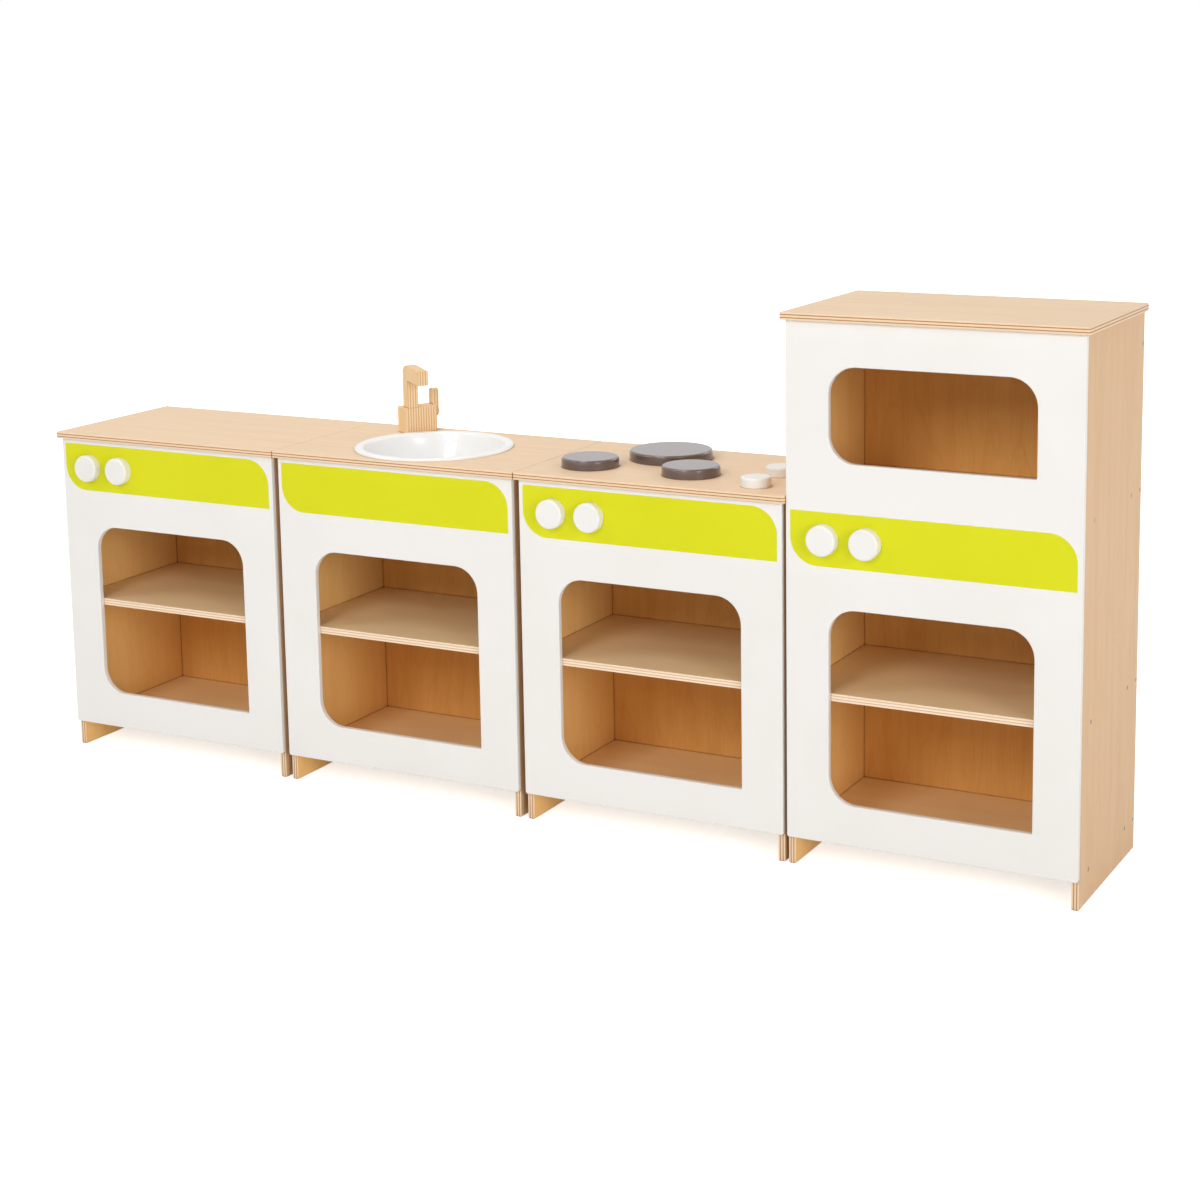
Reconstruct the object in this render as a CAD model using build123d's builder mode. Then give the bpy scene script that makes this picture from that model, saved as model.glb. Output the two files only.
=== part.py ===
"""Play kitchen: three worktop units and one tall unit that stand in a row.

Every unit is a plywood carcass with a lacquered front. The first unit is plain, the second
holds a basin and a tap, the third a hob, and the tall one has two open compartments.
The row runs along X, the fronts face -Y, and the origin is under the middle of the row.
"""
import os

from build123d import *

# Boards
ply = 12.0  # carcasses, shelves and worktops
front_t = 9.0  # lacquered front panels
film_t = 0.4  # coloured strip on each front

# Units
unit_w = 496.0  # width of a worktop, which is the pitch of the row
side_overhang = 7.0  # worktop past the carcass at each side
front_overhang = 8.0  # worktop past the front panel
unit_depth = 312.0  # front face to the back of the carcass
base_h = 608.0
tall_h = 900.0
kick_h = 47.0  # open height under the fronts
edge_r = 2.0  # eased board edges
corner_r = 4.0  # rounded board corners

# Coloured strips
strip_margin = 8.0
strip_drop = 21.0  # upper edge below the worktops' level
strip_h = 87.0
strip_r = 45.0  # lower left and upper right corners

# Openings in the fronts, and the levels behind them
deck_z = 57.0  # upper face of the bottom deck
window_margin = 73.0  # from the side edges of the panel
window_sill = 57.0  # lower edge above the deck
window_drop = 67.0  # upper edge below the strip
shelf_lift = 19.0  # shelf's upper face above the middle of the opening
mid_deck_drop = 2.0  # the tall unit's middle deck below the worktops' level
niche_sill_share = 0.2128  # its upper opening, as shares of the upper compartment
niche_share = 0.539
window_r = 45.0  # three corners of every opening
tight_r = 3.0  # the lower right corner

# Knobs and their bolts
knob_r = 25.0
knob_t = 16.0
knob_edge_r = 4.0
knob_gap = 0.3  # under a knob, and under the head of its bolt
knob_first = 65.0  # from the edge of the panel to the first knob
knob_pitch = 72.0
bolt_r = 2.95
bolt_head_r = 5.0
bolt_head_t = 3.0
bolt_grip = 10.0  # length of bolt inside a knob
running = 0.05  # radial play of a turning shaft
push_fit = 0.02  # radial play of a fixed shaft

# Basin
bowl_r = 128.0  # outside of the wall under the rim
rim_w = 13.0  # rim past that wall
rim_past = 2.0  # rim past the front face, on the worktop's overhang
rim_h = 5.0
rim_roll_r = 4.0
bowl_depth = 88.0
bowl_taper = 32.0  # floor's radius less than the wall's
bowl_heel_r = 30.0
bowl_shoulder = 6.0  # step in of the wall under the worktop
bowl_shoulder_drop = 8.0
wall = 3.0
bowl_play = 1.5  # between the wall and the hole in the worktop

# Tap, which stands behind the basin's left side and points across it
tap_share = 0.83  # left of the basin's middle, as a share of the rim's radius
tap_back = 47.0  # from the back edge of the worktop
tap_angle = 60.0
tap_edge_r = 1.0
block_w = 62.0
block_d = 36.0
block_h = 48.0
spout_t = 21.0
spout_h = 78.0  # above the block
spout_post_d = 19.0
spout_reach = 61.0
spout_arm_h = 27.0
spout_fall = 5.5  # the arm's end is this much lower than its root
spout_inset = 3.5  # from the left face of the block
spout_bevel = 8.0
lever_w = 16.0
lever_t = 12.0
lever_crown_r = 5.0
lever_foot_r = 7.5
lever_rise = 29.0  # above the block
lever_drop = 9.0  # below its bolt
lever_shift = 5.0  # behind the middle of the block
lever_bolt_z = 34.0
lever_bolt_in = 20.0  # length of its bolt in the block

# Hob
plate_h = 17.0
plate_small_r = 49.0
plate_large_r = 71.5
plate_y = 95.0  # the two front plates
plate_rear_back = 102.0  # the large plate, from the back edge of the worktop
plate_x = 93.0  # left plate, from the left end of the worktop
plate_pitch = 190.0
plate_edge_r = 4.0
hob_knob_inset = 75.0  # from the right end of the worktop
hob_knob_y = 52.0
hob_knob_pitch = 98.0

# Carcass screws
screw_r = 2.2
screw_head_r = 3.7
screw_head_t = 2.0
screw_len = 38.0
screw_end_gap = 2.0  # between the tip and the end of its hole
screw_play = 0.05
screw_front = 47.0  # from the front edge of a side panel
screw_back = 56.0  # from its back edge
back_screw_drop = 52.0  # upper back screw, below the top board

# Places that follow from the sizes
carcass_w = unit_w - 2 * side_overhang
row_w = 4 * unit_w - side_overhang
row_left = -row_w / 2
knob_stand = film_t + knob_gap
total_depth = knob_t + knob_stand + unit_depth
face_y = knob_t + knob_stand - total_depth / 2
panel_y = face_y + front_t
back_y = face_y + unit_depth
back_face_y = back_y - ply
base_x = [row_left + unit_w * n for n in range(3)]
tall_x = row_left + 3 * unit_w - side_overhang
worktop_under = base_h - ply
top_under = tall_h - ply
strip_top = base_h - strip_drop
strip_bottom = strip_top - strip_h
knob_z = (strip_bottom + strip_top) / 2
window_bottom = deck_z + window_sill
window_top = strip_bottom - window_drop
shelf_z = (window_bottom + window_top) / 2 + shelf_lift
mid_deck_z = base_h - mid_deck_drop
niche_bottom = mid_deck_z + niche_sill_share * (top_under - mid_deck_z)
niche_top = niche_bottom + niche_share * (top_under - mid_deck_z)
rim_r = bowl_r + rim_w
bowl_floor_r = bowl_r - bowl_taper
basin_x = unit_w / 2
basin_y = rim_r - rim_past
tap_x = basin_x - tap_share * rim_r
tap_y = unit_depth - tap_back
plate_rear_y = unit_depth - plate_rear_back
hob_knob_x = unit_w - hob_knob_inset
inner_w = carcass_w - 2 * ply
low_corner = (Align.MIN, Align.MIN, Align.MIN)
under = (Align.CENTER, Align.CENTER, Align.MAX)
above = (Align.CENTER, Align.CENTER, Align.MIN)
screw_rows = [panel_y + screw_front, back_y - screw_back]
back_screw_y = back_y - ply / 2

os.makedirs("parts", exist_ok=True)


def save(builder, name):
    """Name a finished piece and write its file."""
    builder.part.label = name
    export_step(builder.part, f"parts/{name}.step")


def screw_places(levels, back_levels):
    """Places of one panel's screws as (y, z) pairs."""
    places = [(y, z - ply / 2) for z in levels for y in screw_rows]
    return places + [(back_screw_y, z) for z in back_levels]


def outward(x, places, turn):
    """Locations on a side face, with Z out of it: turn is 1 for +X and -1 for -X."""
    return [Location((x, y, z), (0, 90 * turn, 0)) for y, z in places]


def side_panel(name, x, turn, height, places):
    """Upright board from the floor to the underside of the top. x is its outer face."""
    start = x if turn < 0 else x - ply
    with BuildPart() as side:
        with Locations((start, panel_y, 0)):
            Box(ply, back_y - panel_y, height, align=low_corner)
        fillet(side.edges().filter_by(Axis.Y).group_by(Axis.Z)[0], radius=edge_r)
        with Locations(*outward(x, places, turn)):
            CounterBoreHole(
                radius=screw_r + screw_play,
                counter_bore_radius=screw_head_r + screw_play,
                counter_bore_depth=screw_head_t,
                depth=ply,
            )
    save(side, name)


def level_board(name, left, top):
    """Deck or shelf between the two sides, drilled at its ends for the screws."""
    right = left + inner_w
    ends = [(y, top - ply / 2) for y in screw_rows]
    with BuildPart() as board:
        with Locations((left, panel_y, top - ply)):
            Box(inner_w, back_face_y - panel_y, ply, align=low_corner)
        with Locations(*outward(left, ends, -1), *outward(right, ends, 1)):
            Hole(radius=screw_r + screw_play, depth=screw_len - ply)
    save(board, name)


def back_panel(name, left, top, levels):
    """Board let in between the sides, from the deck's underside to the top."""
    right = left + inner_w
    bottom = deck_z - ply
    ends = [(back_screw_y, z) for z in levels]
    with BuildPart() as back:
        with Locations((left, back_face_y, bottom)):
            Box(inner_w, ply, top - bottom, align=low_corner)
        with Locations(*outward(left, ends, -1), *outward(right, ends, 1)):
            Hole(radius=screw_r + screw_play, depth=screw_len - ply)
    save(back, name)


def front_panel(name, left, top, openings, knob_count):
    """Lacquered panel with rounded openings and holes for the knob bolts."""
    middle = left + carcass_w / 2
    opening_w = carcass_w - 2 * window_margin
    with BuildPart() as front:
        with BuildSketch(Plane.XZ.offset(-panel_y)) as outline:
            with Locations((middle, (kick_h + top) / 2)):
                RectangleRounded(carcass_w, top - kick_h, corner_r)
            for bottom, upper in openings:
                with Locations((middle, (bottom + upper) / 2)):
                    Rectangle(opening_w, upper - bottom, mode=Mode.SUBTRACT)
                lower_right = (middle + opening_w / 2, bottom)
                spread = (opening_w + upper - bottom) / 2
                corners = outline.vertices().filter_by(
                    lambda v: abs(v.X - middle) + abs(v.Y - (bottom + upper) / 2) < spread + tight_r
                )
                tight = corners.sort_by_distance(lower_right)[0]
                fillet([v for v in corners if v != tight], radius=window_r)
                tight = outline.vertices().sort_by_distance(lower_right)[0]
                fillet(tight, radius=tight_r)
            for n in range(knob_count):
                with Locations((left + knob_first + knob_pitch * n, knob_z)):
                    Circle(bolt_r + running, mode=Mode.SUBTRACT)
        extrude(amount=front_t)
        rims = front.faces().sort_by(Axis.Y)[0].edges()
        holes = rims.filter_by(GeomType.CIRCLE).filter_by(lambda e: e.radius < bolt_r + 1)
        fillet([e for e in rims if e not in holes], radius=edge_r)
    save(front, name)


def control_strip(name, left, knob_count):
    """Thin coloured strip with two square and two round corners."""
    width = carcass_w - 2 * strip_margin
    with BuildPart() as strip:
        with BuildSketch(Plane.XZ.offset(-face_y)) as outline:
            with Locations((left + carcass_w / 2, knob_z)):
                Rectangle(width, strip_top - strip_bottom)
            low_left = outline.vertices().sort_by_distance((left, strip_bottom))[0]
            high_right = outline.vertices().sort_by_distance((left + carcass_w, strip_top))[0]
            fillet([low_left, high_right], radius=strip_r)
            for n in range(knob_count):
                with Locations((left + knob_first + knob_pitch * n, knob_z)):
                    Circle(bolt_r + running, mode=Mode.SUBTRACT)
        extrude(amount=film_t)
    save(strip, name)


def top_board(name, x, top, cutouts):
    """Worktop with eased edges. cutouts are (x, y, radius) of its holes."""
    depth = unit_depth + front_overhang
    with BuildPart() as board:
        with BuildSketch(Plane.XY.offset(top - ply)):
            with Locations((x + unit_w / 2, back_y - depth / 2)):
                RectangleRounded(unit_w, depth, corner_r)
        extrude(amount=ply)
        fillet(board.edges().group_by(Axis.Z)[-1], radius=edge_r)
        for hole_x, hole_y, radius in cutouts:
            with Locations((hole_x, hole_y, top)):
                Hole(radius=radius, depth=ply)
    save(board, name)


def knob(name, place):
    """Plain round knob. place is the middle of its back, with Z out of the surface."""
    with BuildPart() as disc:
        with Locations(place):
            Cylinder(knob_r, knob_t, align=above)
        rims = disc.edges().filter_by(GeomType.CIRCLE)
        crown = rims.sort_by_distance((place * Location((0, 0, knob_t))).position)[0]
        fillet(crown, radius=knob_edge_r)
        with Locations(place):
            Cylinder(bolt_r + push_fit, bolt_grip, align=above, mode=Mode.SUBTRACT)
    save(disc, name)


def knob_bolt(name, place, board_t):
    """Bolt from behind the board into a knob, with which it turns."""
    reach = board_t + 2 * knob_gap
    with BuildPart() as bolt:
        with Locations(place * Location((0, 0, -reach))):
            Cylinder(bolt_r, reach + bolt_grip, align=above)
            Cylinder(bolt_head_r, bolt_head_t, align=under)
    save(bolt, name)


def unit(tag, x, top, levels, back_levels, openings, knob_count):
    """Carcass, front and strip of one unit. x is the left end of its top board."""
    left = x + side_overhang
    right = left + carcass_w
    places = screw_places(levels, back_levels)
    side_panel(f"side_left_{tag}", left, -1, top, places)
    side_panel(f"side_right_{tag}", right, 1, top, places)
    for board, level in zip(["deck", "shelf", "mid_deck"], levels):
        level_board(f"{board}_{tag}", left + ply, level)
    back_panel(f"back_{tag}", left + ply, top, back_levels)
    front_panel(f"front_{tag}", left, top, openings, knob_count)
    control_strip(f"strip_{tag}", left, knob_count)
    for n in range(knob_count):
        spot = (left + knob_first + knob_pitch * n, face_y - knob_stand, knob_z)
        place = Location(spot, (90, 0, 0))
        knob(f"knob_{tag}_{n + 1}", place)
        knob_bolt(f"knob_bolt_{tag}_{n + 1}", place, front_t + film_t)
    return outward(left, places, -1) + outward(right, places, 1)


base_levels = [deck_z, shelf_z]
tall_levels = [deck_z, shelf_z, mid_deck_z]
base_back_levels = [z - ply / 2 for z in base_levels] + [worktop_under - back_screw_drop]
tall_back_levels = [z - ply / 2 for z in tall_levels] + [top_under - back_screw_drop]
window = (window_bottom, window_top)
niche = (niche_bottom, niche_top)

screws = unit("plain", base_x[0], worktop_under, base_levels, base_back_levels, [window], 2)
screws += unit("sink", base_x[1], worktop_under, base_levels, base_back_levels, [window], 0)
screws += unit("hob", base_x[2], worktop_under, base_levels, base_back_levels, [window], 2)
screws += unit("tall", tall_x, top_under, tall_levels, tall_back_levels, [window, niche], 2)

# Screws of all four carcasses: one kind, each a solid of its own
with BuildPart() as carcass_screws:
    with Locations(*screws):
        Cylinder(screw_r, screw_len - screw_end_gap, align=under)
        Cylinder(screw_head_r, screw_head_t, align=under)
save(carcass_screws, "carcass_screws")

# Worktops
hob_knobs = [
    (base_x[2] + hob_knob_x, face_y + hob_knob_y + hob_knob_pitch * n) for n in range(2)
]
basin_at = (base_x[1] + basin_x, face_y + basin_y)
top_board("worktop_plain", base_x[0], base_h, [])
top_board("worktop_sink", base_x[1], base_h, [(*basin_at, bowl_r + bowl_play)])
top_board("worktop_hob", base_x[2], base_h, [(*spot, bolt_r + running) for spot in hob_knobs])
top_board("top_tall", tall_x, tall_h, [])

# Basin: one wall turned from its rolled rim to its floor
with BuildPart() as basin:
    axis_x, axis_y = basin_at
    floor_z = base_h - bowl_depth
    shoulder_z = worktop_under - bowl_shoulder_drop
    with BuildSketch(Plane.XZ.offset(-axis_y)) as section:
        with BuildLine():
            outside = Polyline(
                (axis_x, floor_z),
                (axis_x + bowl_floor_r, floor_z),
                (axis_x + bowl_r - bowl_shoulder, shoulder_z),
                (axis_x + bowl_r, base_h),
                (axis_x + rim_r, base_h),
                (axis_x + rim_r, base_h + rim_h),
            )
            inside = Polyline(
                (axis_x, floor_z + wall),
                (axis_x + bowl_floor_r - wall / 2, floor_z + wall),
                (axis_x + bowl_r - bowl_shoulder - wall, shoulder_z),
                (axis_x + bowl_r - wall, base_h + rim_h),
                (axis_x + rim_r, base_h + rim_h),
            )
            Line(outside @ 0, inside @ 0)
        make_face()
        rolled = (axis_x + rim_r, base_h + rim_h)
        fillet(section.vertices().sort_by_distance(rolled)[0], radius=rim_roll_r)
        lip = (axis_x + bowl_r - wall, base_h + rim_h)
        fillet(section.vertices().sort_by_distance(lip)[0], radius=rim_roll_r)
        heel = (axis_x + bowl_floor_r, floor_z)
        fillet(section.vertices().sort_by_distance(heel)[0], radius=bowl_heel_r)
        sole = (axis_x + bowl_floor_r - wall / 2, floor_z + wall)
        fillet(section.vertices().sort_by_distance(sole)[0], radius=bowl_heel_r - wall)
    revolve(axis=Axis((axis_x, axis_y, 0), (0, 0, 1)))
save(basin, "basin")

# Tap: its own plane has X along the block's face, Y to its back and Z up
tap_at = (base_x[1] + tap_x, face_y + tap_y, base_h)
tap_plane = Plane(tap_at).rotated((0, 0, tap_angle))
lever_axis = tap_plane.from_local_coords(Vector(block_w / 2, lever_shift, lever_bolt_z))
lever_out = tap_plane.x_dir
lever_plane = Plane(origin=lever_axis, x_dir=tap_plane.y_dir, z_dir=lever_out)

with BuildPart() as tap_block:
    with BuildSketch(tap_plane):
        Rectangle(block_w, block_d)
    extrude(amount=block_h)
    fillet(tap_block.edges().group_by(Axis.Z)[-1], radius=tap_edge_r)
    with BuildSketch(lever_plane):
        Circle(bolt_r + push_fit)
    extrude(amount=-lever_bolt_in, mode=Mode.SUBTRACT)
save(tap_block, "tap_block")

# The spout is sawn in one piece from a thick board: a post with an arm towards the basin
spout_left = spout_inset - block_w / 2
spout_origin = tap_plane.from_local_coords(Vector(spout_left, -block_d / 2, block_h))
spout_plane = Plane(origin=spout_origin, x_dir=-tap_plane.y_dir, z_dir=-tap_plane.x_dir)
with BuildPart() as tap_spout:
    with BuildSketch(spout_plane) as profile:
        with BuildLine():
            Polyline(
                (0, 0),
                (0, spout_h - spout_arm_h),
                (spout_reach - spout_post_d, spout_h - spout_arm_h - spout_fall),
                (spout_reach - spout_post_d, spout_h - spout_fall),
                (0, spout_h),
                (-spout_post_d, spout_h),
                (-spout_post_d, 0),
                close=True,
            )
        make_face()
        crest = profile.vertices().sort_by_distance((-spout_post_d, spout_h))[0]
        chamfer(crest, length=spout_bevel)
    extrude(amount=-spout_t)
    fillet(tap_spout.faces().sort_by(Axis.Z)[-2:].edges(), radius=tap_edge_r)
save(tap_spout, "tap_spout")

# The lever swings on a bolt in the block's right side
with BuildPart() as tap_lever:
    with BuildSketch(lever_plane.offset(knob_gap)) as profile:
        lever_h = block_h - lever_bolt_z + lever_rise
        with Locations((0, (lever_h - lever_drop) / 2)):
            Rectangle(lever_w, lever_h + lever_drop)
        fillet(profile.vertices().group_by(Axis.Y)[-1], radius=lever_crown_r)
        fillet(profile.vertices().group_by(Axis.Y)[0], radius=lever_foot_r)
        Circle(bolt_r + running, mode=Mode.SUBTRACT)
    extrude(amount=lever_t)
save(tap_lever, "tap_lever")

with BuildPart() as lever_bolt:
    with BuildSketch(lever_plane.offset(-lever_bolt_in)):
        Circle(bolt_r)
    extrude(amount=lever_bolt_in + lever_t + 2 * knob_gap)
    with BuildSketch(lever_plane.offset(lever_t + 2 * knob_gap)):
        Circle(bolt_head_r)
    extrude(amount=bolt_head_t)
    rims = lever_bolt.edges().filter_by(GeomType.CIRCLE)
    fillet(rims.sort_by_distance(lever_axis + lever_out * block_w)[0], radius=tap_edge_r)
save(lever_bolt, "lever_bolt")


def hob_plate(name, x, y, radius):
    """Round cooking plate with a rounded upper edge."""
    with BuildPart() as plate:
        with Locations((base_x[2] + x, face_y + y, base_h)):
            Cylinder(radius, plate_h, align=above)
        fillet(plate.edges().group_by(Axis.Z)[-1], radius=plate_edge_r)
    save(plate, name)


hob_plate("hob_plate_left", plate_x, plate_y, plate_small_r)
hob_plate("hob_plate_right", plate_x + plate_pitch, plate_y, plate_small_r)
hob_plate("hob_plate_rear", plate_x + plate_pitch / 2, plate_rear_y, plate_large_r)

# Two more knobs lie on the hob's worktop
for n, (x, y) in enumerate(hob_knobs):
    place = Location((x, y, base_h + knob_gap))
    knob(f"knob_top_{n + 1}", place)
    knob_bolt(f"knob_bolt_top_{n + 1}", place, ply)
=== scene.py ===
import math

import bmesh
import bpy
from mathutils import Matrix, Vector


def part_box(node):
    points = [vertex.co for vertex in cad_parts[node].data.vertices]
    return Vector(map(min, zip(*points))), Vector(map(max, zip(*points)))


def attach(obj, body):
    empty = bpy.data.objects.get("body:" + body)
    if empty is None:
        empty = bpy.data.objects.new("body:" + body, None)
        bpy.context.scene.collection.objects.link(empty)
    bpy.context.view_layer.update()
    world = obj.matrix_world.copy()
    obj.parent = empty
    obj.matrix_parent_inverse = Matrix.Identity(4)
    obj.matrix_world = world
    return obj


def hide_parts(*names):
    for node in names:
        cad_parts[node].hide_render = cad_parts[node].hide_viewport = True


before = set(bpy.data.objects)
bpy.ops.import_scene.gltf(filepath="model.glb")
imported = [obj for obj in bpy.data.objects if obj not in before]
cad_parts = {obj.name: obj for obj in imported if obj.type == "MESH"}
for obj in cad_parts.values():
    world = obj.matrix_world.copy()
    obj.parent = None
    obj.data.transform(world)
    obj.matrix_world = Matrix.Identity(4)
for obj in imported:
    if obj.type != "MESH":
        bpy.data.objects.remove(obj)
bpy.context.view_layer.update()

# The row of four play kitchen units, in metres: fronts face -Y, the floor is at Z 0.
UNITS = ("plain", "sink", "hob", "tall")
KNOB_ROWS = ("plain", "hob", "tall", "top")
PLY_LAYERS = 5  # layers of a board that show on its edges
TAP_ANGLE = math.radians(60)  # turn of the tap towards the basin
TAP_LAYER = 0.0026  # thickness of a layer in the tap
CREASE_SHADE_REACH = 0.0035  # width of the painted shade in the crease where two boards meet
CREASE_SHADE_SAMPLES = 6
CREASE = math.radians(32)  # sharper edges of a board stay sharp
WELD = 0.000002  # corners of facets closer than this are joined
NOISE_RANGE = (0.3, 0.7)  # where most of a noise lies

# How fine the figure of a finish is, in clouds of noise along a metre
FIBRES = 420.0
BANDS = 46.0
FLAMES = 8.0
CLOUDS = 5.5
PORES = 900.0
PAINT_DRIFT = 6.0
PAINT_SPECKS = 900.0
ORANGE_PEEL = 260.0
GLAZE_WAVES = 14.0
BRUSHING = 1500.0

# Birch grain: how far fibres and flames are drawn out along it, and the lines in a flame
FIBRE_DRAW = 0.05
FLAME_DRAW = 0.22
FLAME_LINES = 26.0


def tint(red, green, blue):
    """A finish colour as it is mixed at the paint shop, 0 to 255, made linear."""
    def linear(value):
        share = value / 255.0
        return share / 12.92 if share <= 0.04045 else ((share + 0.055) / 1.055) ** 2.4
    return (linear(red), linear(green), linear(blue), 1.0)


def start_finish(name):
    """A new material with its shader and its Object coordinates."""
    finish = bpy.data.materials.new(name)
    finish.use_nodes = True
    shader = finish.node_tree.nodes["Principled BSDF"]
    place = finish.node_tree.nodes.new("ShaderNodeTexCoord")
    return finish, shader, place


def add(finish, kind, **settings):
    """A new node of a material, with its settings."""
    made = finish.node_tree.nodes.new(kind)
    for key, value in settings.items():
        setattr(made, key, value)
    return made


def join(finish, source, target):
    """Links an output of one node to an input of another."""
    finish.node_tree.links.new(source, target)


def noise(finish, vector, scale, detail=3.0, rough=0.5):
    """Cloudy tone from 0 to 1; scale is how many clouds lie along a metre."""
    made = add(finish, "ShaderNodeTexNoise")
    made.inputs["Scale"].default_value = scale
    made.inputs["Detail"].default_value = detail
    made.inputs["Roughness"].default_value = rough
    join(finish, vector, made.inputs["Vector"])
    return made.outputs["Fac"]


def mapped(finish, vector, scale=(1, 1, 1), turn=(0, 0, 0)):
    """A place or a direction, stretched and turned."""
    made = add(finish, "ShaderNodeMapping")
    made.inputs["Scale"].default_value = scale
    made.inputs["Rotation"].default_value = turn
    join(finish, vector, made.inputs["Vector"])
    return made.outputs["Vector"]


def maths(finish, operation, first, second=None, third=None):
    """A calculation with up to three values, each a number or the output of a node."""
    made = add(finish, "ShaderNodeMath", operation=operation)
    for socket, value in zip(made.inputs, (first, second, third)):
        if value is None:
            continue
        if isinstance(value, (int, float)):
            socket.default_value = value
        else:
            join(finish, value, socket)
    return made.outputs["Value"]


def spread(finish, value, low, high, to_low, to_high, smooth=False):
    """A value from low to high carried over to the range from to_low to to_high."""
    made = add(finish, "ShaderNodeMapRange")
    made.interpolation_type = "SMOOTHSTEP" if smooth else "LINEAR"
    for name, number in (
        ("From Min", low),
        ("From Max", high),
        ("To Min", to_low),
        ("To Max", to_high),
    ):
        made.inputs[name].default_value = number
    join(finish, value, made.inputs["Value"])
    return made.outputs["Result"]


def ramp(finish, value, stops):
    """A value turned into a colour by stops, each a position and a colour."""
    made = add(finish, "ShaderNodeValToRGB")
    band = made.color_ramp
    while len(band.elements) < len(stops):
        band.elements.new(0.5)
    for element, (position, colour) in zip(band.elements, stops):
        element.position = position
        element.color = colour
    join(finish, value, made.inputs["Fac"])
    return made.outputs["Color"]


def blend_colour(finish, share, first, second, kind="MIX"):
    """Two colours blended by a share, each of them given or the output of a node."""
    made = add(finish, "ShaderNodeMix", data_type="RGBA", blend_type=kind)
    for name, value in (("Factor_Float", share), ("A_Color", first), ("B_Color", second)):
        socket = next(s for s in made.inputs if s.identifier == name)
        if isinstance(value, (int, float, tuple)):
            socket.default_value = value
        else:
            join(finish, value, socket)
    return next(s for s in made.outputs if s.identifier == "Result_Color")


def bumped(finish, shader, height, strength, depth):
    """Gives a finish a fine relief."""
    made = add(finish, "ShaderNodeBump")
    made.inputs["Strength"].default_value = strength
    made.inputs["Distance"].default_value = depth
    join(finish, height, made.inputs["Height"])
    join(finish, made.outputs["Normal"], shader.inputs["Normal"])


def birch_ply(name, cut, start, layer_t, turn=0.0):
    """Lacquered birch plywood: veneer with its grain on the faces, layers on the edges, and
    painted shade in the creases where boards meet.

    cut is the board's thickness axis, its grain's axis, the face and streak colours of its outer
    and inner veneer, the way along the thickness that the inner one faces, or 0 where both are
    alike, how strong the figure is, and the pale and dark tone of its layers on the edges. start
    is where the first layer begins, layer_t how thick a layer is, and turn the board's turn.
    """
    thickness, grain, outer, inner, inward, figure, (pale, dark) = cut
    finish, shader, place = start_finish(name)
    point = place.outputs["Object"]
    facing = place.outputs["Normal"]
    if turn:
        point = mapped(finish, point, turn=(0, 0, turn))
        facing = mapped(finish, facing, turn=(0, 0, turn))
    axis = "XYZ".index(thickness)
    along = "XYZ".index(grain)

    # Fibres, broad bands and flame lines, drawn out along the grain, and clouds
    stretch = [1.0, 1.0, 1.0]
    stretch[along] = FIBRE_DRAW
    fibre_place = mapped(finish, point, scale=stretch)
    fibre = noise(finish, fibre_place, FIBRES, 4.0, 0.6)
    broad = noise(finish, fibre_place, BANDS, 3.0, 0.55)
    stretch[along] = FLAME_DRAW
    flame_place = mapped(finish, point, scale=stretch)
    flame = noise(finish, flame_place, FLAMES, 2.0, 0.45)
    flame = maths(finish, "MULTIPLY", flame, FLAME_LINES)
    flame_lines = maths(finish, "PINGPONG", flame, 1.0)
    flame_lines = spread(finish, flame_lines, 0.0, 0.24, 1.0, 0.0, smooth=True)
    cloud = noise(finish, point, CLOUDS, 2.0, 0.5)
    tone = maths(finish, "MULTIPLY_ADD", fibre, 0.5, maths(finish, "MULTIPLY", broad, 0.5))

    # The veneer of each face
    facing_split = add(finish, "ShaderNodeSeparateXYZ")
    join(finish, facing, facing_split.inputs["Vector"])
    facing_axis = facing_split.outputs[axis]
    shade = spread(finish, cloud, *NOISE_RANGE, 0.0, 0.25)
    lines = maths(finish, "MULTIPLY", flame_lines, figure)
    sheets = []
    for face, streak in (outer, inner) if inward else (inner,):
        sheet = ramp(finish, tone, ((0.28, streak), (0.56, face)))
        sheet = blend_colour(finish, shade, sheet, streak)
        sheets.append(blend_colour(finish, lines, sheet, streak))
    veneer = sheets[-1]
    if inward:
        toward = maths(finish, "MULTIPLY", facing_axis, inward)
        inside = maths(finish, "GREATER_THAN", toward, 0.5)
        veneer = blend_colour(finish, inside, sheets[0], sheets[1])

    # The layers on the edges: pale ones, with a thin dark one between each two
    split = add(finish, "ShaderNodeSeparateXYZ")
    join(finish, point, split.inputs["Vector"])
    depth = maths(finish, "SUBTRACT", split.outputs[axis], start)
    layer = maths(finish, "FRACT", maths(finish, "DIVIDE", depth, 2 * layer_t))
    layer_stops = ((0.00, pale), (0.54, pale), (0.64, dark), (0.88, dark), (0.98, pale))
    stripes = ramp(finish, layer, layer_stops)
    pores = spread(finish, noise(finish, point, PORES, 2.0), 0.35, 0.7, 0.0, 0.25)
    stripes = blend_colour(finish, pores, stripes, dark)
    flat = maths(finish, "ABSOLUTE", facing_axis)
    edge = spread(finish, flat, 0.55, 0.85, 1.0, 0.0, smooth=True)
    colour = blend_colour(finish, edge, veneer, stripes)

    # Painted shade: ambient occlusion darkens the creases where two boards meet
    corner = add(finish, "ShaderNodeAmbientOcclusion", samples=CREASE_SHADE_SAMPLES)
    corner.inputs["Distance"].default_value = CREASE_SHADE_REACH
    crease_shade = ramp(finish, corner.outputs["AO"], ((0.45, PAINTED_CREASE_SHADE), (0.85, UNSHADED)))
    colour = blend_colour(finish, 1.0, colour, crease_shade, "MULTIPLY")
    join(finish, colour, shader.inputs["Base Color"])

    rough = spread(finish, tone, *NOISE_RANGE, 0.56, 0.46)
    join(finish, rough, shader.inputs["Roughness"])
    shader.inputs["Specular IOR Level"].default_value = 0.25
    bumped(finish, shader, tone, 0.10, 0.0006)
    return finish


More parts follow.
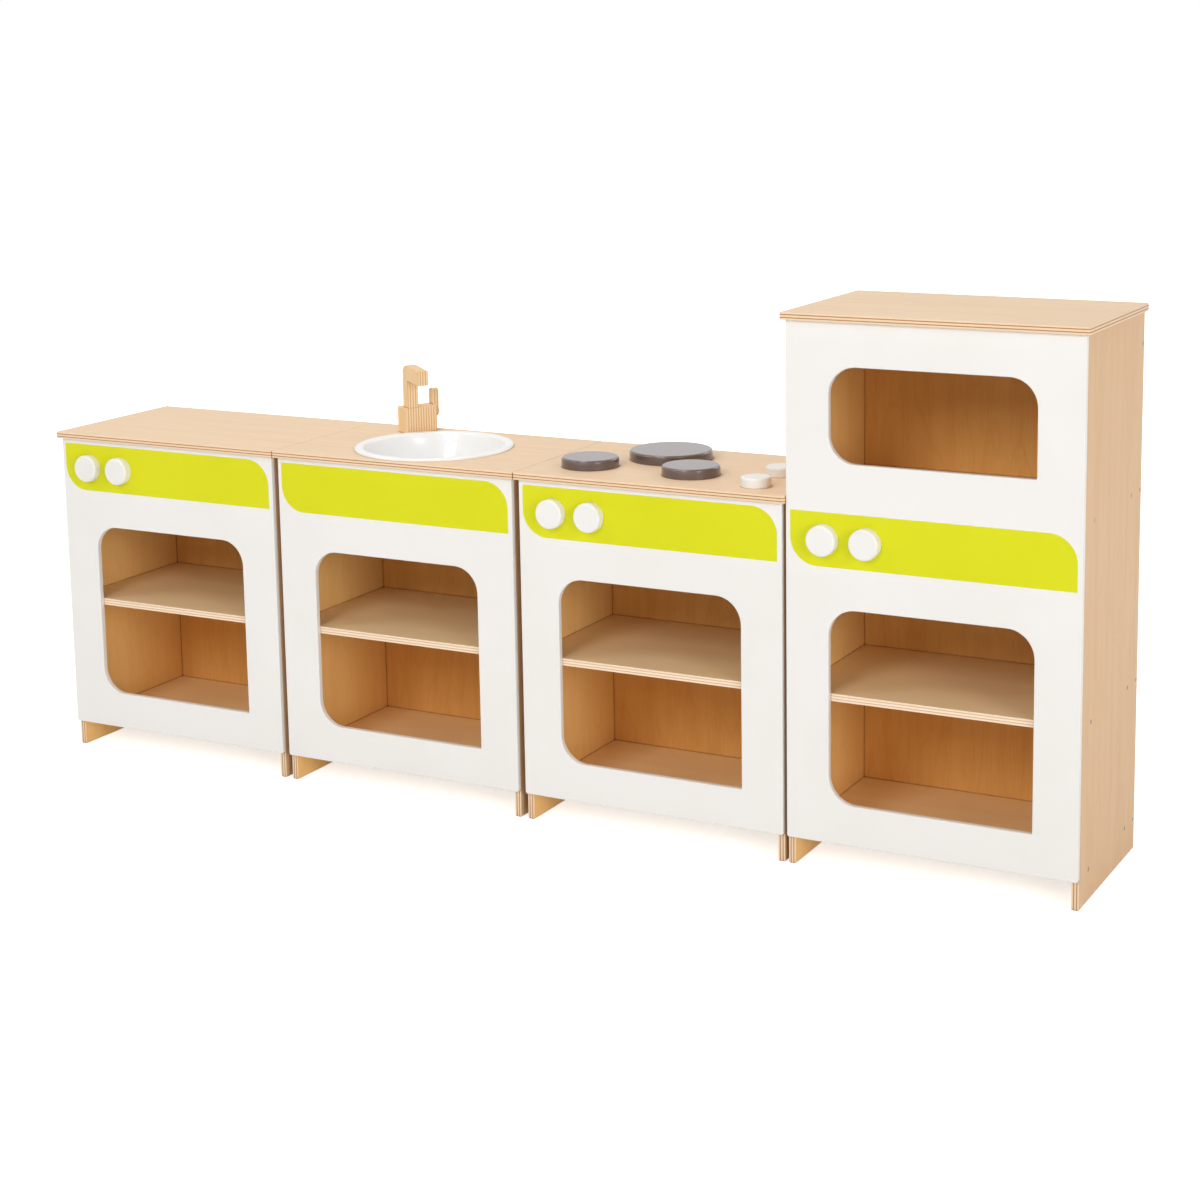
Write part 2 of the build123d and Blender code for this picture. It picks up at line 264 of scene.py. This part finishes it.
def lacquer(name, colour, deeper, rough, peel, coat=0.0, shine=0.3):
    """A sprayed or moulded finish: a faint drift of tone and a fine orange peel."""
    finish, shader, place = start_finish(name)
    point = place.outputs["Object"]
    drift = noise(finish, point, PAINT_DRIFT, 2.0)
    speck = noise(finish, point, PAINT_SPECKS, 2.0)
    share = maths(finish, "MULTIPLY_ADD", speck, 0.35, maths(finish, "MULTIPLY", drift, 0.65))
    join(finish, ramp(finish, share, ((0.36, deeper), (0.6, colour))), shader.inputs["Base Color"])
    skin = noise(finish, point, ORANGE_PEEL, 2.0, 0.4)
    gloss = spread(finish, skin, *NOISE_RANGE, rough - 0.04, rough + 0.05)
    join(finish, gloss, shader.inputs["Roughness"])
    shader.inputs["Specular IOR Level"].default_value = shine
    shader.inputs["Coat Weight"].default_value = coat
    shader.inputs["Coat Roughness"].default_value = 0.05
    bumped(finish, shader, skin, peel, 0.0004)
    return finish


def glaze(name, colour, deeper, rough, shine):
    """A smooth, thick, glossy paint with a slight waviness."""
    finish, shader, place = start_finish(name)
    point = place.outputs["Object"]
    drift = noise(finish, point, GLAZE_WAVES, 2.0)
    join(finish, ramp(finish, drift, ((0.36, deeper), (0.6, colour))), shader.inputs["Base Color"])
    gloss = spread(finish, drift, *NOISE_RANGE, rough, rough + 0.04)
    join(finish, gloss, shader.inputs["Roughness"])
    shader.inputs["Specular IOR Level"].default_value = shine
    shader.inputs["Coat Weight"].default_value = 0.35
    shader.inputs["Coat Roughness"].default_value = 0.03
    bumped(finish, shader, drift, 0.04, 0.0006)
    return finish


def zinc_steel(name, dull, bright):
    """Zinc on a turned screw or bolt."""
    finish, shader, place = start_finish(name)
    point = place.outputs["Object"]
    brushed = noise(finish, mapped(finish, point, scale=(1, 1, 0.1)), BRUSHING, 3.0)
    metal = ramp(finish, brushed, ((0.3, dull), (0.7, bright)))
    join(finish, metal, shader.inputs["Base Color"])
    gloss = spread(finish, brushed, *NOISE_RANGE, 0.28, 0.42)
    join(finish, gloss, shader.inputs["Roughness"])
    shader.inputs["Metallic"].default_value = 1.0
    bumped(finish, shader, brushed, 0.08, 0.0002)
    return finish


# Finishes. A wood tone is a face and a streak colour; the edges of a board have a pale and a dark
# layer.
EDGES = (tint(244, 217, 184), tint(178, 126, 80))
SHELF_EDGES = (tint(250, 229, 204), tint(219, 180, 140))
TAP_EDGES = (tint(247, 216, 172), tint(216, 170, 122))
# Painted shade in the creases where boards meet, fading to no shade away from them
PAINTED_CREASE_SHADE = tint(172, 134, 96)
UNSHADED = tint(255, 255, 255)
OUTSIDE = (tint(225, 187, 145), tint(218, 177, 132))
# Painted light and shade: lit and shaded copies of the one birch veneer. The inner faces of the
# sides get a brighter, more orange copy where less light reaches, the backs' inner faces a darker
# copy as painted shade, and the shelves and decks a lighter copy as painted light from above.
INNER_LIT_VENEER = (tint(252, 207, 136), tint(245, 193, 117))
BACK_SHADED_VENEER = (tint(245, 191, 114), tint(233, 171, 94))
SHELF_LIT_VENEER = (tint(254, 223, 174), tint(251, 213, 160))
WORKTOP = (tint(237, 208, 174), tint(231, 198, 161))
TAP = (tint(246, 213, 166), tint(238, 198, 147))
# How each board is cut, as birch_ply reads it
CUTS = {
    "side_left": ("X", "Z", OUTSIDE, INNER_LIT_VENEER, 1, 0.35, EDGES),
    "side_right": ("X", "Z", OUTSIDE, INNER_LIT_VENEER, -1, 0.35, EDGES),
    "back": ("Y", "Z", OUTSIDE, BACK_SHADED_VENEER, -1, 0.35, EDGES),
    "deck": ("Z", "X", SHELF_LIT_VENEER, SHELF_LIT_VENEER, 0, 0.2, SHELF_EDGES),
    "shelf": ("Z", "X", SHELF_LIT_VENEER, SHELF_LIT_VENEER, 0, 0.2, SHELF_EDGES),
    "mid_deck": ("Z", "X", SHELF_LIT_VENEER, SHELF_LIT_VENEER, 0, 0.2, SHELF_EDGES),
    "worktop": ("Z", "X", WORKTOP, WORKTOP, 0, 0.25, EDGES),
    "top": ("Z", "X", WORKTOP, WORKTOP, 0, 0.25, EDGES),
}
front_white = lacquer("front_white", tint(239, 236, 232), tint(236, 233, 228), 0.42, 0.03)
strip_lime = lacquer("strip_lime", tint(219, 219, 24), tint(215, 215, 18), 0.45, 0.04, shine=0.2)
knob_white = lacquer("knob_white", tint(238, 236, 231), tint(232, 229, 223), 0.34, 0.06, 0.15)
basin_white = glaze("basin_white", tint(243, 242, 240), tint(240, 239, 237), 0.30, 0.3)
hob_grey = glaze("hob_grey", tint(100, 84, 79), tint(96, 80, 75), 0.20, 0.45)
bolt_zinc = zinc_steel("bolt_zinc", tint(150, 148, 143), tint(205, 204, 200))
screw_zinc = zinc_steel("screw_zinc", tint(104, 92, 80), tint(140, 128, 114))

finish_of = {"basin": basin_white, "lever_bolt": bolt_zinc, "carcass_screws": screw_zinc}
for unit in UNITS:
    finish_of[f"front_{unit}"] = front_white
    finish_of[f"strip_{unit}"] = strip_lime

# Boards that lie at the same place through their thickness share one finish
ply_finishes = {}
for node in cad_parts:
    board = node.rpartition("_")[0]
    if board not in CUTS:
        continue
    low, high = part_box(node)
    axis = "XYZ".index(CUTS[board][0])
    key = (board, round(low[axis], 4))
    if key not in ply_finishes:
        layer_t = (high[axis] - low[axis]) / PLY_LAYERS
        ply_finishes[key] = birch_ply(f"{node}_birch", CUTS[board], low[axis], layer_t)
    finish_of[node] = ply_finishes[key]

# The tap's layers stand upright, across its block
low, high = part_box("tap_block")
tap_middle = (low + high) / 2
tap_across = tap_middle.x * math.cos(TAP_ANGLE) + tap_middle.y * math.sin(TAP_ANGLE)
tap_birch = birch_ply(
    "tap_birch", ("X", "Z", TAP, TAP, 0, 0.2, TAP_EDGES), tap_across, TAP_LAYER, -TAP_ANGLE
)
for node in ("tap_block", "tap_spout", "tap_lever"):
    finish_of[node] = tap_birch
for place_on_hob in ("left", "right", "rear"):
    finish_of[f"hob_plate_{place_on_hob}"] = hob_grey
for row in KNOB_ROWS:
    for number in (1, 2):
        finish_of[f"knob_{row}_{number}"] = knob_white
        finish_of[f"knob_bolt_{row}_{number}"] = bolt_zinc


def soft_shading():
    """Joins each board's facets and shades them smooth up to a crease."""
    group = bpy.data.node_groups.new("soft_shading", "GeometryNodeTree")
    group.interface.new_socket("Geometry", in_out="INPUT", socket_type="NodeSocketGeometry")
    group.interface.new_socket("Geometry", in_out="OUTPUT", socket_type="NodeSocketGeometry")
    nodes = group.nodes
    links = group.links
    start = nodes.new("NodeGroupInput")
    end = nodes.new("NodeGroupOutput")
    merge = nodes.new("GeometryNodeMergeByDistance")
    merge.inputs["Distance"].default_value = WELD
    plain = nodes.new("GeometryNodeRemoveAttribute")
    plain.inputs["Name"].default_value = "custom_normal"
    angle = nodes.new("GeometryNodeInputMeshEdgeAngle")
    crease = nodes.new("FunctionNodeCompare")
    crease.operation = "LESS_THAN"
    crease.inputs["B"].default_value = CREASE
    faces = nodes.new("GeometryNodeSetShadeSmooth")
    faces.domain = "FACE"
    faces.inputs["Shade Smooth"].default_value = True
    edges = nodes.new("GeometryNodeSetShadeSmooth")
    edges.domain = "EDGE"
    links.new(start.outputs[0], plain.inputs["Geometry"])
    links.new(plain.outputs[0], merge.inputs["Geometry"])
    links.new(merge.outputs[0], faces.inputs["Geometry"])
    links.new(faces.outputs[0], edges.inputs["Geometry"])
    links.new(angle.outputs["Unsigned Angle"], crease.inputs["A"])
    links.new(crease.outputs["Result"], edges.inputs["Shade Smooth"])
    links.new(edges.outputs[0], end.inputs[0])
    return group


shading = soft_shading()
for name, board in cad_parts.items():
    board.data.materials.clear()
    board.data.materials.append(finish_of[name])
    board.modifiers.new("soft_shading", "NODES").node_group = shading
    level_faces = board.modifiers.new("level_faces", "WEIGHTED_NORMAL")
    level_faces.keep_sharp = True
    level_faces.weight = 100


TURN_STEPS = 128  # facets around a turned piece
ROLL_STEPS = 8  # and around a rounded corner of its section
TURNED_CREASE = math.radians(50)
ON_AXIS = 1e-6


def turned(name, centre, corners, finish, body):
    """A piece turned on an upright axis from its section, which starts and ends on that axis.

    Each corner of the section is a radius, a height and how far it is rounded.
    """
    shape = bmesh.new()
    points = [shape.verts.new((radius, 0.0, height)) for radius, height, _ in corners]
    shape.faces.new(points)
    for (_, _, rounding), point in zip(corners, points):
        if rounding:
            bmesh.ops.bevel(
                shape, geom=[point], offset=rounding, offset_type="OFFSET", affect="VERTICES",
                segments=ROLL_STEPS, profile=0.5, material=-1,
            )
    bmesh.ops.delete(shape, geom=shape.faces[:], context="FACES_ONLY")
    on_axis = [e for e in shape.edges if all(v.co.x < ON_AXIS for v in e.verts)]
    bmesh.ops.delete(shape, geom=on_axis, context="EDGES")
    bmesh.ops.spin(
        shape, geom=shape.verts[:] + shape.edges[:], cent=(0, 0, 0), axis=(0, 0, 1),
        angle=math.tau, steps=TURN_STEPS, use_merge=True,
    )
    bmesh.ops.remove_doubles(shape, verts=shape.verts, dist=ON_AXIS)
    bmesh.ops.recalc_face_normals(shape, faces=shape.faces)
    bmesh.ops.translate(shape, verts=shape.verts, vec=centre)
    for face in shape.faces:
        face.smooth = True
    mesh = bpy.data.meshes.new(name)
    shape.to_mesh(mesh)
    shape.free()
    mesh.set_sharp_from_angle(angle=TURNED_CREASE)
    piece = bpy.data.objects.new(name, mesh)
    piece.data.materials.append(finish)
    bpy.context.scene.collection.objects.link(piece)
    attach(piece, body)
    return piece


# The basin: a thin wall from its floor up to a rim that lies on the worktop
RIM_WIDTH = 0.013
RIM_HEIGHT = 0.005
RIM_ROLL = 0.0038  # rounding of the rim's outer edge
RIM_FOOT = 0.0005  # and where it lies on the worktop
LIP_ROLL = 0.0040  # rounding from the rim into the bowl
BOWL_WALL = 0.003
BOWL_SHOULDER = 0.006  # step in of the wall
BOWL_SHOULDER_DROP = 0.025  # below the top of the rim
SHOULDER_ROLL = 0.010
BOWL_TAPER = 0.032  # floor's radius less than the wall's
HEEL_ROLL = 0.016  # rounding from the wall to the floor
low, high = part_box("basin")
basin_centre = Vector(((low.x + high.x) / 2, (low.y + high.y) / 2, 0.0))
floor_z = low.z
rim_z = high.z
shoulder_z = rim_z - BOWL_SHOULDER_DROP
rim_r = (high.x - low.x) / 2
wall_r = rim_r - RIM_WIDTH
shoulder_r = wall_r - BOWL_SHOULDER
floor_r = wall_r - BOWL_TAPER
basin_section = (
    (0.0, floor_z, 0.0),
    (floor_r, floor_z, HEEL_ROLL),
    (shoulder_r, shoulder_z, 0.0),
    (wall_r, rim_z - RIM_HEIGHT, 0.0),
    (rim_r, rim_z - RIM_HEIGHT, RIM_FOOT),
    (rim_r, rim_z, RIM_ROLL),
    (wall_r - BOWL_WALL, rim_z, LIP_ROLL),
    (shoulder_r - BOWL_WALL, shoulder_z, SHOULDER_ROLL),
    (floor_r - BOWL_WALL / 2, floor_z + BOWL_WALL, HEEL_ROLL),
    (0.0, floor_z + BOWL_WALL, 0.0),
)
basin_bowl = turned("basin_bowl", basin_centre, basin_section, basin_white, "carcass")
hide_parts("basin")


# Floor, light and camera
FLOOR_RADIUS = 60.0
FLOOR_SIDES = 96
FLOOR_WHITE = (0.86, 0.86, 0.86, 1)
FLOOR_GLOW = (0.66, 1.0)  # as it is seen, near the units and far from them
GLOW_REACH = (1.3, 2.6)  # where the near glow ends and the far one begins
ROOM_LIGHT = 0.38  # light of the white room on the units
ROOM_SEEN = 1.0  # and as it is seen


def studio_floor():
    """A plain white floor that keeps the shadows and fades into the background."""
    finish = bpy.data.materials.new("studio_floor")
    finish.use_nodes = True
    tree = finish.node_tree
    tree.nodes.remove(tree.nodes["Principled BSDF"])
    matt = add(finish, "ShaderNodeBsdfDiffuse")
    matt.inputs["Color"].default_value = FLOOR_WHITE
    glow = add(finish, "ShaderNodeEmission")
    rays = add(finish, "ShaderNodeLightPath")
    seen = maths(finish, "MAXIMUM", rays.outputs["Is Camera Ray"], rays.outputs["Is Glossy Ray"])
    seen = maths(finish, "MAXIMUM", seen, rays.outputs["Is Transmission Ray"])
    place = add(finish, "ShaderNodeTexCoord")
    reach = add(finish, "ShaderNodeVectorMath", operation="LENGTH")
    join(finish, place.outputs["Object"], reach.inputs[0])
    far = spread(finish, reach.outputs["Value"], *GLOW_REACH, 0.0, 1.0, smooth=True)
    strength = maths(finish, "MULTIPLY", seen, spread(finish, far, 0.0, 1.0, *FLOOR_GLOW))
    join(finish, strength, glow.inputs["Strength"])
    both = add(finish, "ShaderNodeAddShader")
    join(finish, matt.outputs[0], both.inputs[0])
    join(finish, glow.outputs[0], both.inputs[1])
    join(finish, both.outputs[0], tree.nodes["Material Output"].inputs["Surface"])
    mesh = bpy.data.meshes.new("floor")
    shape = bmesh.new()
    bmesh.ops.create_circle(shape, cap_ends=True, segments=FLOOR_SIDES, radius=FLOOR_RADIUS)
    shape.to_mesh(mesh)
    shape.free()
    floor = bpy.data.objects.new("floor", mesh)
    floor.data.materials.append(finish)
    bpy.context.scene.collection.objects.link(floor)


def studio_world():
    """A white room: it is seen brighter than it lights the units."""
    world = bpy.data.worlds.new("studio_world")
    bpy.context.scene.world = world
    world.use_nodes = True
    sky = world.node_tree.nodes["Background"]
    sky.inputs["Color"].default_value = (1, 1, 1, 1)
    rays = world.node_tree.nodes.new("ShaderNodeLightPath")
    seen = rays.outputs["Is Camera Ray"]
    for output in ("Is Glossy Ray", "Is Transmission Ray"):
        either = world.node_tree.nodes.new("ShaderNodeMath")
        either.operation = "MAXIMUM"
        world.node_tree.links.new(seen, either.inputs[0])
        world.node_tree.links.new(rays.outputs[output], either.inputs[1])
        seen = either.outputs[0]
    level = world.node_tree.nodes.new("ShaderNodeMapRange")
    level.inputs["To Min"].default_value = ROOM_LIGHT
    level.inputs["To Max"].default_value = ROOM_SEEN
    world.node_tree.links.new(seen, level.inputs["Value"])
    world.node_tree.links.new(level.outputs["Result"], sky.inputs["Strength"])


def softbox(name, place, aim, width, height, power):
    """A square or oblong lamp at a place, turned to what it aims at."""
    light = bpy.data.lights.new(name, "AREA")
    light.shape = "RECTANGLE"
    light.size = width
    light.size_y = height
    light.energy = power
    lamp = bpy.data.objects.new(name, light)
    lamp.location = place
    lamp.rotation_mode = "QUATERNION"
    lamp.rotation_quaternion = (Vector(aim) - Vector(place)).to_track_quat("-Z", "Y")
    bpy.context.scene.collection.objects.link(lamp)


studio_floor()
studio_world()
softbox("overhead_left", (-1.0, 0.2, 4.6), (0.0, 0.0, 0.6), 1.3, 1.3, 52.0)
softbox("high_left", (-3.2, -2.8, 3.9), (0.0, 0.0, 0.5), 1.5, 1.5, 34.0)
softbox("low_right", (6.4, -4.0, 1.9), (0.0, 0.0, 0.4), 2.8, 2.8, 172.0)
softbox("high_front", (0.0, -4.6, 2.9), (0.2, 0.0, 0.4), 1.6, 1.6, 74.0)
softbox("rear", (2.5, 4.5, 3.2), (0.0, 0.0, 0.4), 2.5, 2.0, 45.0)

# The photograph's camera: its place, its turn and its lens in pixels of a 1200 frame.
FRAME_PIXELS = 1200.0
SENSOR_MM = 36.0
FAR_CLIP = 200.0
EYE = Vector((1.93415, -3.35696, 1.33568))
YAW = 0.4805
PITCH = 0.1616
ROLL = -0.0135
FOCAL_PIXELS = 2274.185
CENTRE_PIXELS = (650.0, 400.0)


def kitchen_camera():
    """The camera, with its lens shifted to set the row in the frame."""
    ahead = Vector((
        -math.sin(YAW) * math.cos(PITCH),
        math.cos(YAW) * math.cos(PITCH),
        -math.sin(PITCH),
    ))
    right = Vector((math.cos(YAW), math.sin(YAW), 0.0))
    above = right.cross(ahead)
    across = right * math.cos(ROLL) + above * math.sin(ROLL)
    upright = above * math.cos(ROLL) - right * math.sin(ROLL)
    lens = bpy.data.cameras.new("kitchen_camera")
    lens.sensor_width = SENSOR_MM
    lens.lens = FOCAL_PIXELS / FRAME_PIXELS * lens.sensor_width
    lens.shift_x = (FRAME_PIXELS / 2 - CENTRE_PIXELS[0]) / FRAME_PIXELS
    lens.shift_y = (CENTRE_PIXELS[1] - FRAME_PIXELS / 2) / FRAME_PIXELS
    lens.clip_end = FAR_CLIP
    camera = bpy.data.objects.new("kitchen_camera", lens)
    turn = Matrix((across, upright, -ahead)).transposed().to_4x4()
    camera.matrix_world = Matrix.Translation(EYE) @ turn
    bpy.context.scene.collection.objects.link(camera)
    bpy.context.scene.camera = camera


kitchen_camera()
bpy.context.scene.view_settings.view_transform = "Standard"
